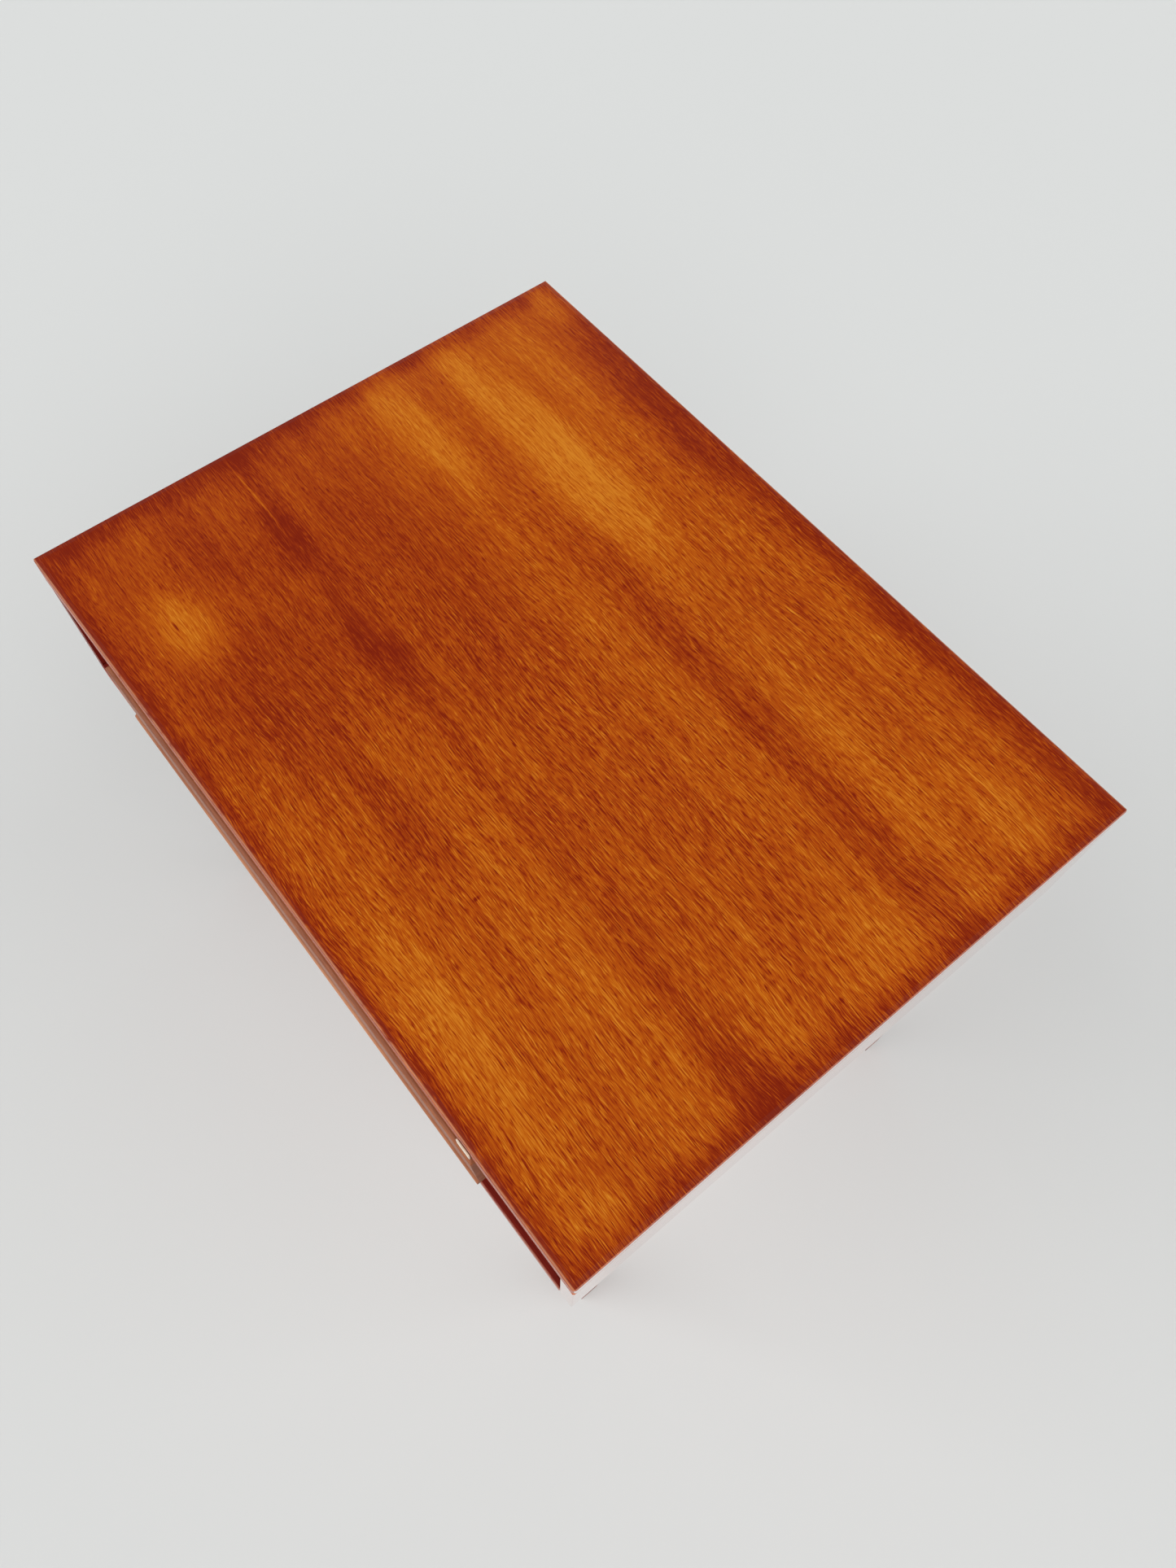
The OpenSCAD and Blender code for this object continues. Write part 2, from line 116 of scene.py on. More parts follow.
def calc(tree, operation, *values, clamp=False):
    """One step of arithmetic on numbers."""
    return add(tree, "Math", dict(enumerate(values)), operation=operation, use_clamp=clamp).outputs[0]


def calc_vector(tree, operation, *values):
    """One step of arithmetic on vectors."""
    return add(tree, "VectorMath", dict(enumerate(values)), operation=operation).outputs[0]


def times(tree, first, second):
    """The product of two numbers."""
    return calc(tree, "MULTIPLY", first, second)


def stretched(tree, vector, factors):
    """A vector with X, Y and Z each multiplied by its own factor."""
    return calc_vector(tree, "MULTIPLY", vector, factors)


def total(tree, *values):
    """The sum of several numbers."""
    result = values[0]
    for value in values[1:]:
        result = calc(tree, "ADD", result, value)
    return result


def ease(tree, value, low, high, start=0.0, end=1.0):
    """Goes smoothly from start, where value is low, to end, where it is high."""
    inputs = {"Value": value, "From Min": low, "From Max": high, "To Min": start, "To Max": end}
    return add(tree, "MapRange", inputs, interpolation_type="SMOOTHSTEP").outputs[0]


def noise(tree, vector, detail=2.0):
    """Soft noise around 0.5, with spots about one unit wide."""
    return add(tree, "TexNoise", {"Vector": vector, "Scale": 1.0, "Detail": detail}).outputs[0]


def swing(tree, vector, amount, detail=2.0):
    """Noise centred on zero and scaled by amount, ready to be added to something."""
    return times(tree, calc(tree, "SUBTRACT", noise(tree, vector, detail), 0.5), amount)


def parts_of(tree, vector):
    """The X, Y and Z of a vector, as three outputs."""
    return add(tree, "SeparateXYZ", {0: vector}).outputs


def vector_of(tree, x, y, z):
    """A vector made of three numbers."""
    return add(tree, "CombineXYZ", {0: x, 1: y, 2: z}).outputs[0]


def new_group(name, inputs, outputs):
    """An empty node group with named sockets. A default of three numbers makes a vector socket."""
    group = bpy.data.node_groups.new(name, "ShaderNodeTree")
    for socket_name, default in inputs.items():
        kind = "NodeSocketFloat" if isinstance(default, float) else "NodeSocketVector"
        socket = group.interface.new_socket(name=socket_name, in_out="INPUT", socket_type=kind)
        socket.default_value = default
    for socket_name in outputs:
        group.interface.new_socket(name=socket_name, in_out="OUTPUT", socket_type="NodeSocketFloat")
    return group, group.nodes.new("NodeGroupInput").outputs, group.nodes.new("NodeGroupOutput").inputs


def place(tree, group, inputs):
    """Puts a node group into a material with its own values, and gives back its outputs."""
    made = add(tree, "Group", node_tree=group)
    for key, value in inputs.items():
        fill(tree, made.inputs[key], value)
    return made.outputs


def colour(red, green, blue):
    """A screen colour, 0 to 255 each, as the linear colour that shaders work with."""
    shares = [level / 255 for level in (red, green, blue)]
    linear = [s / 12.92 if s <= 0.04045 else ((s + 0.055) / 1.055) ** 2.4 for s in shares]
    return (*linear, 1.0)


print("middle grey in linear light:", round(colour(128, 128, 128)[0], 3))

# %% [markdown]
# ## Shared effect: streaks of wood fibre
# Wood shows two things at close range. Soft streaks run along the grain, where layers of
# growth are cut, and between them lie the ends of open pores as short dark dashes. A picture
# of wood would give both at once, but it repeats and it can't be turned to suit each piece.
# So both are drawn from noise that is stretched along the grain, in a group whose sockets say
# how long and how high one streak is. The group expects the grain along X.

# %% Group: wood streaks
wood_streaks, taken, given = new_group(
    "wood_streaks", {"Vector": (0, 0, 0), "Length": 0.008, "Height": 0.001}, ["Streak"])
streak_size = vector_of(wood_streaks, taken["Length"], taken["Height"], taken["Height"])
streak_place = calc_vector(wood_streaks, "DIVIDE", taken["Vector"], streak_size)
row_place = stretched(wood_streaks, streak_place, (0.05, 0.8, 0.8))
row_shift = vector_of(wood_streaks, swing(wood_streaks, row_place, 9.0, 1.0), 0.0, 0.0)
shifted = calc_vector(wood_streaks, "ADD", streak_place, row_shift)
fill(wood_streaks, given["Streak"], calc(wood_streaks, "SUBTRACT", noise(wood_streaks, shifted), 0.5))
print("streaks:", len(wood_streaks.nodes), "nodes")

# %% [markdown]
# Pores and the flecks of beech are separate little strokes, not soft noise. A Voronoi texture
# scatters one point in each cell of a grid. Measured in a stretched space, the distance to
# that point turns into a thin dash, and each cell's own random number decides whether its
# dash is there at all.

# %% Group: short dashes
dashes, taken, given = new_group(
    "short_dashes", {"Vector": (0, 0, 0), "Length": 0.005, "Height": 0.0006, "Share": 0.4}, ["Mask"])
dash_size = vector_of(dashes, taken["Length"], taken["Height"], taken["Height"])
dash_place = calc_vector(dashes, "DIVIDE", taken["Vector"], dash_size)
cells = add(dashes, "TexVoronoi", {"Vector": dash_place, "Scale": 1.0})
dash_core = ease(dashes, cells.outputs["Distance"], 0.18, 0.42, 1.0, 0.0)
cell_draw = parts_of(dashes, cells.outputs["Color"])[0]
dash_shown = calc(dashes, "LESS_THAN", cell_draw, taken["Share"])
fill(dashes, given["Mask"], times(dashes, dash_core, dash_shown))
print("dashes:", len(dashes.nodes), "nodes")

# %% [markdown]
# ## Shared effect: a soft patch
# Stain takes unevenly, so a finished top has amber places and darker bands. Random clouds
# would make such places anywhere. Here they are listed one by one and drawn with one small group: a soft
# ellipsoid with a centre and three half sizes, whose outline is roughened by noise.

# %% Group: soft patch
patch, taken, given = new_group(
    "soft_patch", {"Vector": (0, 0, 0), "Centre": (0, 0, 0), "Half Size": (0.1, 0.1, 0.1)}, ["Mask"])
from_centre = calc_vector(patch, "SUBTRACT", taken["Vector"], taken["Centre"])
in_patch = calc_vector(patch, "DIVIDE", from_centre, taken["Half Size"])
reach = add(patch, "VectorMath", {0: in_patch}, operation="LENGTH").outputs["Value"]
rough = swing(patch, stretched(patch, taken["Vector"], (14, 55, 55)), 0.9, 3.0)
fill(patch, given["Mask"], ease(patch, calc(patch, "ADD", reach, rough), 0.2, 1.35, 1.0, 0.0))
print("patch:", len(patch.nodes), "nodes")

# %% [markdown]
# ## Shared effect: a burnished border
# The finisher has shaded the rim of the top darker, as spray or glaze that fades inwards. The
# mask is worked out from the distance to each side of the board's box. Every side has its
# own reach, because the shading is wide at the back and narrow at the front.

# %% Group: burnished border
border, taken, given = new_group(
    "burnished_border",
    {"Vector": (0, 0, 0), "Low": (-1, -1, -1), "High": (1, 1, 1),
     "Reach Low": (0.02, 0.02, 1), "Reach High": (0.02, 0.02, 1)},
    ["Mask"])
gap_low = calc_vector(border, "DIVIDE",
                      calc_vector(border, "SUBTRACT", taken["Vector"], taken["Low"]), taken["Reach Low"])
gap_high = calc_vector(border, "DIVIDE",
                       calc_vector(border, "SUBTRACT", taken["High"], taken["Vector"]), taken["Reach High"])
nearest = parts_of(border, calc_vector(border, "MINIMUM", gap_low, gap_high))
inwards = calc(border, "MINIMUM", nearest[0], nearest[1])
wander = swing(border, stretched(border, taken["Vector"], (28, 28, 28)), 0.7, 3.0)
fill(border, given["Mask"], ease(border, calc(border, "ADD", inwards, wander), 0.0, 1.0, 1.0, 0.0))
print("border:", len(border.nodes), "nodes")

# %% [markdown]
# ## Shared effect: worn and lit edges
# Hands and dusters rub the lacquer on edges first, and the rounded arrises of lacquered boards
# catch the light. On lacquered wood the pale line of this mask is partly wear and partly a
# painted highlight; on beech it carries grime. A point is on an edge of a board when it is
# close to two of the six sides of its box at once. So the distances to the nearest side along
# X, Y and Z are worked out, and the middle one of the three tells how far off the edge is.
# Noise breaks the line up, as real wear does.

# %% Group: worn and lit edges
worn_and_lit_edges, taken, given = new_group(
    "worn_and_lit_edges",
    {"Vector": (0, 0, 0), "Low": (-1, -1, -1), "High": (1, 1, 1), "Width": 0.001, "Evenness": 0.0},
    ["Mask"])
side_low = calc_vector(worn_and_lit_edges, "SUBTRACT", taken["Vector"], taken["Low"])
side_high = calc_vector(worn_and_lit_edges, "SUBTRACT", taken["High"], taken["Vector"])
x_gap, y_gap, z_gap = parts_of(worn_and_lit_edges, calc_vector(worn_and_lit_edges, "MINIMUM", side_low, side_high))
smaller = calc(worn_and_lit_edges, "MINIMUM", x_gap, y_gap)
larger = calc(worn_and_lit_edges, "MAXIMUM", x_gap, y_gap)
middle = calc(worn_and_lit_edges, "MAXIMUM", smaller, calc(worn_and_lit_edges, "MINIMUM", larger, z_gap))
edge_line = calc(worn_and_lit_edges, "SUBTRACT", 1.0, calc(worn_and_lit_edges, "DIVIDE", middle, taken["Width"]), clamp=True)
broken = noise(worn_and_lit_edges, stretched(worn_and_lit_edges, taken["Vector"], (90, 90, 90)), 4.0)
kept = ease(worn_and_lit_edges, calc(worn_and_lit_edges, "ADD", broken, taken["Evenness"]), 0.36, 0.62)
fill(worn_and_lit_edges, given["Mask"], times(worn_and_lit_edges, edge_line, kept))
print("worn edges:", len(worn_and_lit_edges.nodes), "nodes")

# %% [markdown]
# ## Shared effect: marks of use
# No lacquer or metal is evenly smooth. Wide, faint smears and a few hair-thin scratches change
# how sharp the reflection is, far more than they change the colour. So this group gives a mask
# for each, which lacquer, metal and nylon feed into their roughness.

# %% Group: marks of use
marks, taken, given = new_group(
    "marks_of_use", {"Vector": (0, 0, 0), "Density": 1.0}, ["Smears", "Scratches"])
smear_place = stretched(marks, taken["Vector"], (17, 11, 14))
fill(marks, given["Smears"], ease(marks, noise(marks, smear_place, 4.0), 0.42, 0.66))
bent = calc_vector(marks, "ADD", taken["Vector"], vector_of(
    marks, 0.0, swing(marks, stretched(marks, taken["Vector"], (9, 9, 9)), 0.03), 0.0))
hair_place = stretched(marks, bent, (22, 900, 300))
hair = ease(marks, noise(marks, hair_place, 1.0), 0.74, 0.78)
fill(marks, given["Scratches"], times(marks, hair, taken["Density"]))
print("marks:", len(marks.nodes), "nodes")

# %% [markdown]
# ## Starting a material
# Every wood but the top's own veneer starts the same way: take the piece's own coordinates,
# turn them so that the grain runs along X, and shift them, so that no two boards are twins.
# The coordinates are the object's, which move with the drawer and the tray.

# %% Material helpers
COAT_ROUGHNESS = 0.04
PORE_DEPTH = 0.00002
FIBRE_DEPTH = 0.00004
GRAIN_TURNS = {"x": (0, 1, 2), "y": (1, 0, 2), "z": (2, 0, 1)}
boards_made = []


def new_material(name, roughness, specular, coat=0.0, metallic=0.0):
    """A material with an empty tree but for its shader, whose plain values are set here."""
    material = bpy.data.materials.new(name)
    material.use_nodes = True
    tree = material.node_tree
    shader = tree.nodes["Principled BSDF"]
    shader.inputs["Roughness"].default_value = roughness
    shader.inputs["Specular IOR Level"].default_value = specular
    shader.inputs["Metallic"].default_value = metallic
    shader.inputs["Coat Weight"].default_value = coat
    shader.inputs["Coat Roughness"].default_value = COAT_ROUGHNESS
    return material, tree, shader


def own_place(tree):
    """The piece's own coordinates, in metres."""
    return add(tree, "TexCoord").outputs["Object"]


def along_grain(tree, place_now, axis):
    """Coordinates with the grain along X, shifted by a different step for each board."""
    boards_made.append(axis)
    parts = parts_of(tree, place_now)
    turned = vector_of(tree, *[parts[number] for number in GRAIN_TURNS[axis]])
    step = len(boards_made)
    return calc_vector(tree, "ADD", turned, (0.37 * step, 0.11 * step, 0.23 * step))


def ramp(tree, value, stops):
    """A colour that follows value through stops of (place, colour)."""
    made = add(tree, "ValToRGB", {0: value})
    elements = made.color_ramp.elements
    while len(elements) < len(stops):
        elements.new(0.5)
    for element, (where, shade) in zip(elements, stops):
        element.position = where
        element.color = shade
    return made.outputs[0]


def blend_colour(tree, share, first, second):
    """First where share is 0, second where it is 1."""
    mix = add(tree, "Mix", data_type="RGBA")
    for number, value in ((0, share), (6, first), (7, second)):
        fill(tree, mix.inputs[number], value)
    return mix.outputs[2]


def relief(tree, height, depth):
    """A bump of that depth, in metres, from a height of 0 to 1."""
    return add(tree, "Bump", {"Height": height, "Distance": depth, "Strength": 1.0}).outputs[0]


print("grain can run along", ", ".join(GRAIN_TURNS))

# %% [markdown]
# ## The top: lacquered mahogany veneer
# The top is what everyone sees: one sheet of ribbon-striped mahogany, grain from left to
# right, under a thick clear lacquer. All its differences are differences of tone along one
# family of colours, from burnt red-brown to amber. So the material first adds up a single
# number, the tone, and one colour ramp turns it into colour at the end. The parts of the sum
# are, from large to small: patches of stain, two dark bands, the burnished rim, ribbon
# stripes, fibre streaks, and pores.

# %% Tones of the top
TOP_TONES = [
    (0.00, colour(126, 30, 3)),
    (0.18, colour(149, 47, 4)),
    (0.40, colour(171, 69, 6)),
    (0.62, colour(187, 89, 9)),
    (0.82, colour(201, 110, 18)),
    (1.00, colour(212, 130, 32)),
]
# Lighter (above 0) and darker (below 0) places: centre and half sizes from the middle of the
# top, in millimetres, then the change of tone
STAIN_AND_MARK_PLACES = [
    (-165, 118, 150, 30, 0.34),
    (-110, 138, 70, 18, 0.16),
    (-225, 165, 95, 22, 0.14),
    (-262, 112, 40, 18, 0.16),
    (-240, 54, 90, 20, 0.30),
    (-275, 212, 34, 16, 0.34),
    (-186, -172, 40, 26, 0.42),
    (150, -190, 100, 22, 0.26),
    (190, -114, 120, 18, 0.10),
    (180, 116, 80, 16, 0.16),
    (250, 160, 60, 18, 0.16),
    (262, 38, 34, 26, 0.16),
    (285, -192, 26, 26, 0.16),
    (150, 160, 110, 15, -0.05),
    (140, 12, 150, 18, -0.06),
    (-150, -25, 150, 62, -0.20),
    (-110, -150, 110, 80, -0.26),
    (-228, -128, 52, 44, -0.22),
    (-292, -110, 34, 140, -0.14),
    (-235, -200, 90, 26, -0.16),
    (-205, -78, 40, 20, -0.20),
    (-85, -80, 36, 18, -0.16),
    (30, -140, 60, 22, -0.20),
    (272, -84, 40, 18, -0.14),
    (-130, 200, 120, 18, -0.18),
    (288, 100, 22, 34, 0.16),
    (288, 214, 20, 14, -0.16),
    (262, -40, 44, 12, 0.14),
    (110, 214, 60, 14, -0.12),
    (60, -20, 200, 50, -0.08),
    # a scratch, painted as a light line of highlight, and four small dents, painted as dark spots of shade
    (-266, -75, 40, 0.8, 0.35),
    (-190, -176, 5, 0.8, -0.70),
    (22, -52, 2.6, 1.1, -0.70),
    (275, -5, 2.2, 1.3, -0.70),
    (92, -134, 1.6, 2.6, -0.60),
]
DARK_BANDS = [(84, 17, -0.06, -0.20), (-74, 19, -0.14, -0.12)]  # y, half width in mm; tone left, right
BAND_TURN = (-0.14, -0.02)     # a band goes from its left to its right tone between these X
CLOUDED_END = (-0.26, 0.02)    # the fine figure is fainter left of these X
RIM_CHANGE = -0.36
MIDDLE_TONE = 0.49
BORDER_REACH_LOW = (0.026, 0.016, 1.0)   # from the left side and from the front
BORDER_REACH_HIGH = (0.026, 0.036, 1.0)  # from the right side and from the back
print(len(STAIN_AND_MARK_PLACES), "places set by hand")

# %% [markdown]
# The bands follow the length of the veneer leaf, so they are as long as the top and only
# waver a little. The fine figure is a sum of strokes of different lengths: soft fibres, light
# flecks, dark pores, and a few thin lines as long as a finger. A short ripple bends them all,
# because mahogany grain is interlocked and never quite straight. The whole tone is a group,
# because the lippings around the top carry the same veneer on their upper faces.

# %% Group: figure of the top
TOP_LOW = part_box("top_lipping_left")[0]
TOP_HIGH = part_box("top_lipping_right")[1]
TOP_MIDDLE = (TOP_LOW + TOP_HIGH) / 2
FINE_STROKES = [  # group, length, height, share of cells that hold one, change of tone
    (wood_streaks, 0.0075, 0.0009, None, 2.4),
    (wood_streaks, 0.026, 0.0010, None, 0.6),
    (wood_streaks, 0.050, 0.0036, None, 0.6),
    (dashes, 0.0065, 0.0009, 0.45, -0.34),
    (dashes, 0.0070, 0.0010, 0.28, 0.24),
    (dashes, 0.0900, 0.0012, 0.12, -0.18),
]
PORES = 3  # which row of a list of strokes draws the pores, counted from 0


def stroke(tree, place_now, group, length, height, share):
    """One kind of fine stroke, shifted so that no two kinds lie on each other."""
    shifted_place = calc_vector(tree, "ADD", place_now, (3 * length, 700 * height, 0))
    inputs = {"Vector": shifted_place, "Length": length, "Height": height}
    if share is not None:
        inputs["Share"] = share
    return place(tree, group, inputs)[0]


def strokes_of(tree, place_now, kinds):
    """The change of tone that a list of strokes makes together, and the mask of its pores."""
    masks = [stroke(tree, place_now, *kind[:4]) for kind in kinds]
    changes = [times(tree, mask, kind[4]) for mask, kind in zip(masks, kinds)]
    return total(tree, *changes), masks[PORES]


def stains_and_marks(tree, here):
    """Everything that was brushed or rubbed on, with a few painted marks: the listed places, among them a
    painted highlight along a scratch and painted shade in four dents, and the dark rim.
    """
    parts = []
    for across, deep, half_across, half_deep, change in STAIN_AND_MARK_PLACES:
        spot = place(tree, patch, {
            "Vector": here,
            "Centre": TOP_MIDDLE + Vector((across, deep, 0)) * MM,
            "Half Size": Vector((half_across, half_deep, 1000)) * MM})["Mask"]
        parts.append(times(tree, spot, change))
    rim = place(tree, border, {
        "Vector": here, "Low": TOP_LOW, "High": TOP_HIGH,
        "Reach Low": BORDER_REACH_LOW, "Reach High": BORDER_REACH_HIGH})["Mask"]
    return total(tree, *parts, times(tree, rim, RIM_CHANGE))


def dark_bands(tree, x, y):
    """The two bands along the leaf, each weaker at one end."""
    parts = []
    for deep, half_deep, left_change, right_change in DARK_BANDS:
        off = calc(tree, "ABSOLUTE", calc(tree, "SUBTRACT", y, TOP_MIDDLE.y + deep * MM))
        band = ease(tree, off, 0.35 * half_deep * MM, 1.25 * half_deep * MM, 1.0, 0.0)
        strength = ease(tree, x, *BAND_TURN, left_change, right_change)
        parts.append(times(tree, band, strength))
    return total(tree, *parts)


top_figure, taken, given = new_group("top_figure", {"Vector": (0, 0, 0)}, ["Tone", "Pores"])
waver = swing(top_figure, stretched(top_figure, taken["Vector"], (5, 9, 0)), 0.02)
ripple = swing(top_figure, stretched(top_figure, taken["Vector"], (60, 120, 0)), 0.0012)
x, y, z = parts_of(top_figure, taken["Vector"])
leaf_y = total(top_figure, y, waver, ripple)
leaf = vector_of(top_figure, x, leaf_y, z)
fine, pores = strokes_of(top_figure, leaf, FINE_STROKES)
cloudy = ease(top_figure, x, *CLOUDED_END, 0.6, 1.0)
stripes = place(top_figure, wood_streaks, {"Vector": leaf, "Length": 0.25, "Height": 0.009})["Streak"]
clouds = place(top_figure, wood_streaks, {"Vector": leaf, "Length": 0.07, "Height": 0.022})["Streak"]
fill(top_figure, given["Tone"], total(
    top_figure, MIDDLE_TONE, stains_and_marks(top_figure, taken["Vector"]), dark_bands(top_figure, x, leaf_y),
    times(top_figure, fine, cloudy),
    times(top_figure, stripes, 0.30), times(top_figure, clouds, 0.22)))
fill(top_figure, given["Pores"], pores)
print("figure of the top:", len(top_figure.nodes), "nodes")


# %% Top veneer
def top_veneer():
    """The veneer on the top board."""
    material, tree, shader = new_material("top_veneer", roughness=0.2, specular=0.3)
    here = own_place(tree)
    figure = place(tree, top_figure, {"Vector": here})
    use = place(tree, marks, {"Vector": here, "Density": 0.6})
    fill(tree, shader.inputs["Base Color"], ramp(tree, figure["Tone"], TOP_TONES))
    fill(tree, shader.inputs["Roughness"],
         total(tree, 0.18, times(tree, use["Smears"], 0.03),
               times(tree, use["Scratches"], 0.15)))
    pits = calc(tree, "SUBTRACT", 1.0, figure["Pores"])
    fill(tree, shader.inputs["Normal"], relief(tree, pits, PORE_DEPTH))
    return material


top_material = top_veneer()
print("top veneer:", len(top_material.node_tree.nodes), "nodes")

# %% [markdown]
# ## Stained and lacquered wood for the case, the drawer front and the legs
# These are the same kind of wood as the top, stained in different depths. One recipe
# serves them all: a dark, a middle and a light colour, streaks and pores, a cloudy stain, and
# a pale line along the edges, which is partly lacquer rubbed thin and partly a painted highlight
# on the arrises. Faces that look into the case get a darker colour as painted shade. Each board
# gets a material of its own, because the edge line has to know where that board's edges are.

# %% Stained wood
CASE_STAIN = (colour(140, 44, 10), colour(170, 72, 17), colour(194, 103, 32))
DRAWER_STAIN = (colour(112, 55, 28), colour(146, 80, 44), colour(176, 108, 66))
# Faces within the case and the back panel are painted darker than the case, as painted shade
SHADED_INSIDE_STAIN = (colour(90, 15, 8), colour(122, 24, 13), colour(146, 40, 22))
SHADED_BACK_STAIN = (colour(66, 20, 10), colour(96, 32, 16), colour(124, 50, 26))
LEG_STAIN = (colour(92, 30, 10), colour(126, 48, 16), colour(158, 76, 32))
# Pale colour of the edges: partly lacquer rubbed thin, partly a painted highlight on the arrises
WEAR_AND_HIGHLIGHT = colour(214, 152, 112)

stained_figure, taken, given = new_group("stained_figure", {"Vector": (0, 0, 0)}, ["Tone", "Pores"])
STAINED_STROKES = [  # group, length, height, share of cells that hold one, change of tone
    (wood_streaks, 0.220, 0.0080, None, 0.8),
    (wood_streaks, 0.090, 0.0300, None, 0.6),
    (wood_streaks, 0.010, 0.0011, None, 1.2),
    (dashes, 0.0070, 0.0009, 0.35, -0.22),
]
change, pores = strokes_of(stained_figure, taken["Vector"], STAINED_STROKES)
fill(stained_figure, given["Tone"], total(stained_figure, 0.5, change))
fill(stained_figure, given["Pores"], pores)


def facing(tree, direction):
    """1 where the surface faces along a direction of the piece, 0 elsewhere."""
    normal = add(tree, "NewGeometry").outputs["Normal"]
    along = add(tree, "VectorMath", {0: normal, 1: direction}, operation="DOT_PRODUCT").outputs["Value"]
    return ease(tree, along, 0.4, 0.6)


def stained_wood(slot, node, axis, stains, roughness, edge_wear_and_highlight=0.5, edge_band_width=0.0009,
                 coat=0.0, inside=None, veneered=False, rubbed_and_lit_place=None):
    """Stained wood for one board. Inside is the way that its face within the case looks; that face is painted
    darker, as painted shade. A veneered piece carries the figure of the top on its upper face, up to the
    top's own edges.
    The last argument is the centre and half size of a place along the drawer's lip that is painted pale,
    partly as wear from fingers and partly as a painted highlight."""
    material, tree, shader = new_material(f"{slot}.{node}", roughness, specular=0.35, coat=coat)
    here = own_place(tree)
    grain = along_grain(tree, here, axis)
    low, high = (TOP_LOW, TOP_HIGH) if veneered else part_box(node)
    figure = place(tree, stained_figure, {"Vector": grain})
    wood = ramp(tree, figure["Tone"], list(zip((0.0, 0.5, 1.0), stains)))
    # Faces that look into the case are painted darker, as painted shade
    if inside:
        dark = ramp(tree, figure["Tone"], list(zip((0.0, 0.5, 1.0), SHADED_INSIDE_STAIN)))
        wood = blend_colour(tree, facing(tree, inside), wood, dark)
    if veneered:
        leaf_tone = place(tree, top_figure, {"Vector": here})["Tone"]
        wood = blend_colour(tree, facing(tree, (0, 0, 1)), wood, ramp(tree, leaf_tone, TOP_TONES))
    # The pale edge line is partly wear and partly a painted highlight on the arrises
    edge_band = place(tree, worn_and_lit_edges, {"Vector": here, "Low": low, "High": high, "Width": edge_band_width,
                                      "Evenness": 0.14 if veneered else 0.0})["Mask"]
    share = times(tree, edge_band, edge_wear_and_highlight)
    # A pale band along the lip: partly wear from fingers, partly a painted highlight
    if rubbed_and_lit_place:
        lip_wear_and_highlight = place(tree, patch, {"Vector": here, "Centre": rubbed_and_lit_place[0], "Half Size": rubbed_and_lit_place[1]})["Mask"]
        share = calc(tree, "MAXIMUM", share, times(tree, lip_wear_and_highlight, 0.7))
    fill(tree, shader.inputs["Base Color"], blend_colour(tree, share, wood, WEAR_AND_HIGHLIGHT))
    use = place(tree, marks, {"Vector": grain, "Density": 0.8})
    fill(tree, shader.inputs["Roughness"],
         total(tree, roughness, times(tree, use["Smears"], 0.06),
               times(tree, use["Scratches"], 0.15), times(tree, share, 0.2)))
    pits = calc(tree, "SUBTRACT", 1.0, figure["Pores"])
    fill(tree, shader.inputs["Normal"], relief(tree, pits, PORE_DEPTH))
    return material


print("stained wood: case, drawer front, inside, legs")

# %% [markdown]
# ## Beech, planed and oiled
# The drawer, its runners and the tray are beech. It is pale, even and straight-grained, and
# the thing that gives it away is a scatter of small darker flecks, the ends of its rays. The
# dashes group draws them, shorter and closer than pores. Beech yellows and greys where hands
# and reels of thread have rubbed it, so a wide cloud darkens it a little.

# %% Beech
BEECH_TONES = [
    (0.0, colour(168, 122, 78)),
    (0.5, colour(204, 163, 114)),
    (1.0, colour(226, 192, 146)),
]
GREYED = colour(150, 108, 70)


def beech(node, axis):
    """Oiled beech for one piece, with the grain along the axis that is named."""
    material, tree, shader = new_material(f"beech.{node}", roughness=0.5, specular=0.35)
    here = own_place(tree)
    grain = along_grain(tree, here, axis)
    low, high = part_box(node)
    stripes = place(tree, wood_streaks, {"Vector": grain, "Length": 0.3, "Height": 0.006})["Streak"]
    fibres = place(tree, wood_streaks, {"Vector": grain, "Length": 0.02, "Height": 0.0007})["Streak"]
    flecks = place(tree, dashes, {"Vector": grain, "Length": 0.0028, "Height": 0.0008, "Share": 0.45})["Mask"]
    tone = total(tree, 0.55, times(tree, stripes, 0.8), times(tree, fibres, 0.5),
                 times(tree, flecks, -0.26))
    wood = ramp(tree, tone, BEECH_TONES)
    grime = noise(tree, stretched(tree, grain, (7, 16, 16)), 4.0)
    edge_band = place(tree, worn_and_lit_edges, {"Vector": here, "Low": low, "High": high, "Width": 0.0016})["Mask"]
    dirt = total(tree, ease(tree, grime, 0.5, 0.72, 0.0, 0.3), times(tree, edge_band, 0.45))
    fill(tree, shader.inputs["Base Color"], blend_colour(tree, dirt, wood, GREYED))
    fill(tree, shader.inputs["Roughness"],
         total(tree, 0.46, times(tree, fibres, 0.3), times(tree, dirt, -0.25)))
    fill(tree, shader.inputs["Normal"], relief(tree, calc(tree, "SUBTRACT", fibres, flecks), FIBRE_DEPTH))
    return material


print("beech:", len(BEECH_TONES), "tones")

# %% [markdown]
# ## Birch plywood
# The drawer bottom and the tray's base are thin birch ply. Their faces are a rotary-cut leaf,
# with broad wavy figure. Their edges show the glued layers, with every second one cut across
# the grain and so darker. Which of the two a point shows depends only on the way that the
# surface faces, so one material does for both.

# %% Birch plywood
PLY_TONES = [
    (0.0, colour(186, 142, 94)),
    (0.5, colour(216, 178, 128)),
    (1.0, colour(233, 205, 162)),
]
END_GRAIN = colour(142, 98, 60)
PLY_LAYERS = 3


